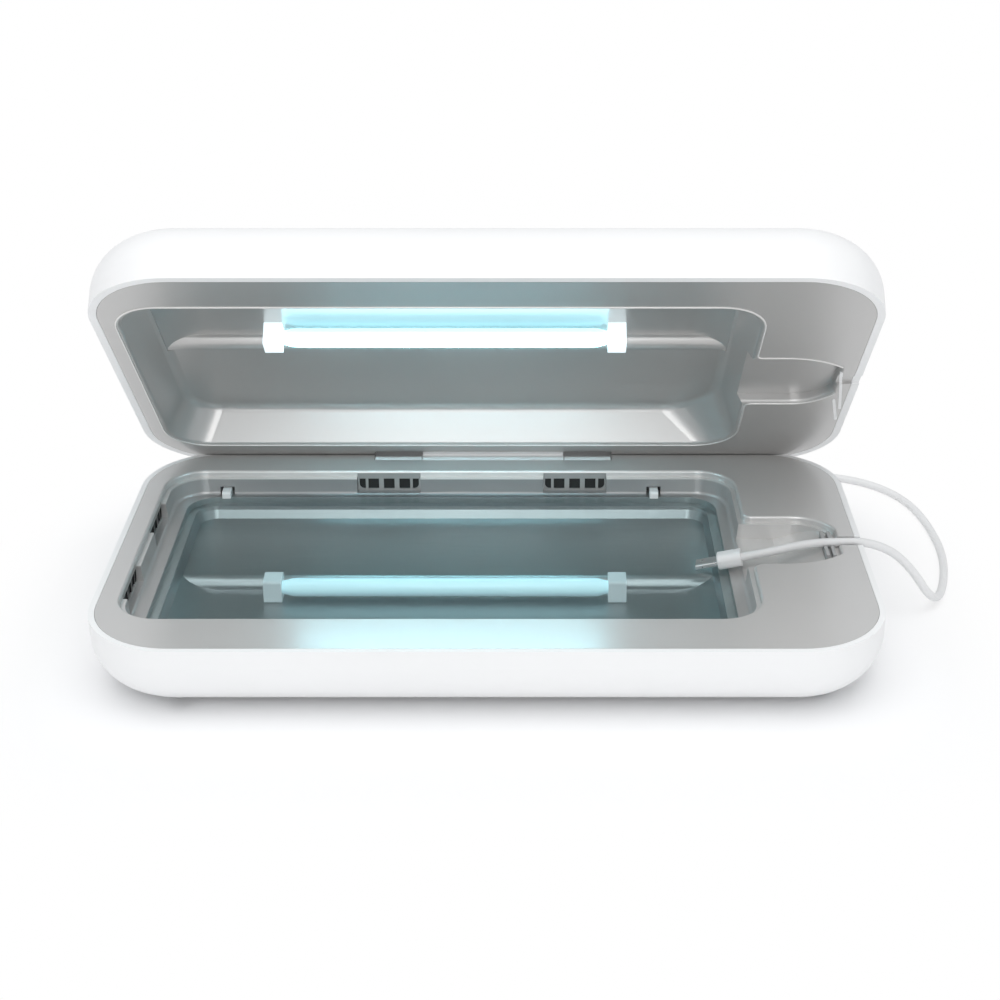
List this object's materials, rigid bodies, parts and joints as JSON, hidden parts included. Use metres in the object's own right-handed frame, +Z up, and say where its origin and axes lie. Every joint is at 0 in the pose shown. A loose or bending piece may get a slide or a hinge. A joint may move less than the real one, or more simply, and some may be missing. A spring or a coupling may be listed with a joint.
{
  "type": "uv sanitizer box for phones",
  "caption": "Clamshell box with a silver lined chamber, glass plate and ultraviolet lamps that sanitizes a phone while a thin lead charges it.",
  "frame": {"origin": "centre of the open box's bounding box, without the charging lead, on the plane the feet stand on", "axes": "+X along the hinge towards the cable notch, +Y from the front edge towards the hinge, +Z up; the lid is open"},
  "size_m": [0.2574, 0.1649, 0.1218],
  "materials": {
    "white_shell": "smooth satin white",
    "silver_liner": "satin silver metallic coating",
    "silver_grille": "satin silver metallic coating",
    "clear_glass": "clear polished",
    "white_trim": "satin",
    "bright_reflector": "bright rolled",
    "lamp_glass": "lit quartz tube",
    "lamp_caps": "pale glazed",
    "circuit_board": "solder mask",
    "bright_steel": "plain",
    "dark_parts": "moulded",
    "dark_seal": "soft",
    "light_seal": "soft",
    "grey_rubber": "soft",
    "white_lead": "smooth flexible jacket",
    "white_plug": "smooth",
    "plug_metal": "bright"
  },
  "bodies": {
    "base": {"base_shell": "white_shell", "base_liner": "silver_liner", "glass_plate": "clear_glass", "plate_clips": "white_trim", "lower_reflector": "bright_reflector", "lower_lamp_tube": "lamp_glass", "lower_lamp_caps": "lamp_caps", "rear_sound_grilles": "silver_grille", "side_sound_grilles": "silver_grille", "control_board": "circuit_board", "board_screws": "bright_steel", "board_parts": "dark_parts", "lamp_driver": "dark_parts", "port_board": "circuit_board", "power_jack": "dark_parts", "lead_port": "bright_steel", "lid_sensor": "dark_parts", "base_cable_seal": "dark_seal", "hinge_pin": "bright_steel", "rubber_feet": "grey_rubber", "base_screws": "bright_steel", "charging_cable": "white_lead", "device_plug": "white_plug", "device_plug_tongue": "plug_metal", "supply_plug": "white_plug", "supply_plug_relief": "white_lead"},
    "lid": {"lid_shell": "white_shell", "lid_liner": "silver_liner", "upper_lamp_tube": "lamp_glass", "upper_lamp_caps": "lamp_caps", "lid_magnet": "bright_steel", "lid_cable_seal": "light_seal"}
  },
  "joints": [
    {"name": "lid_hinge", "type": "hinge", "parent": "base", "child": "lid", "pos_m": [0, 0.05569, 0.0183], "axis": [1, 0, 0], "range_deg": [0, 46.2]}
  ]
}
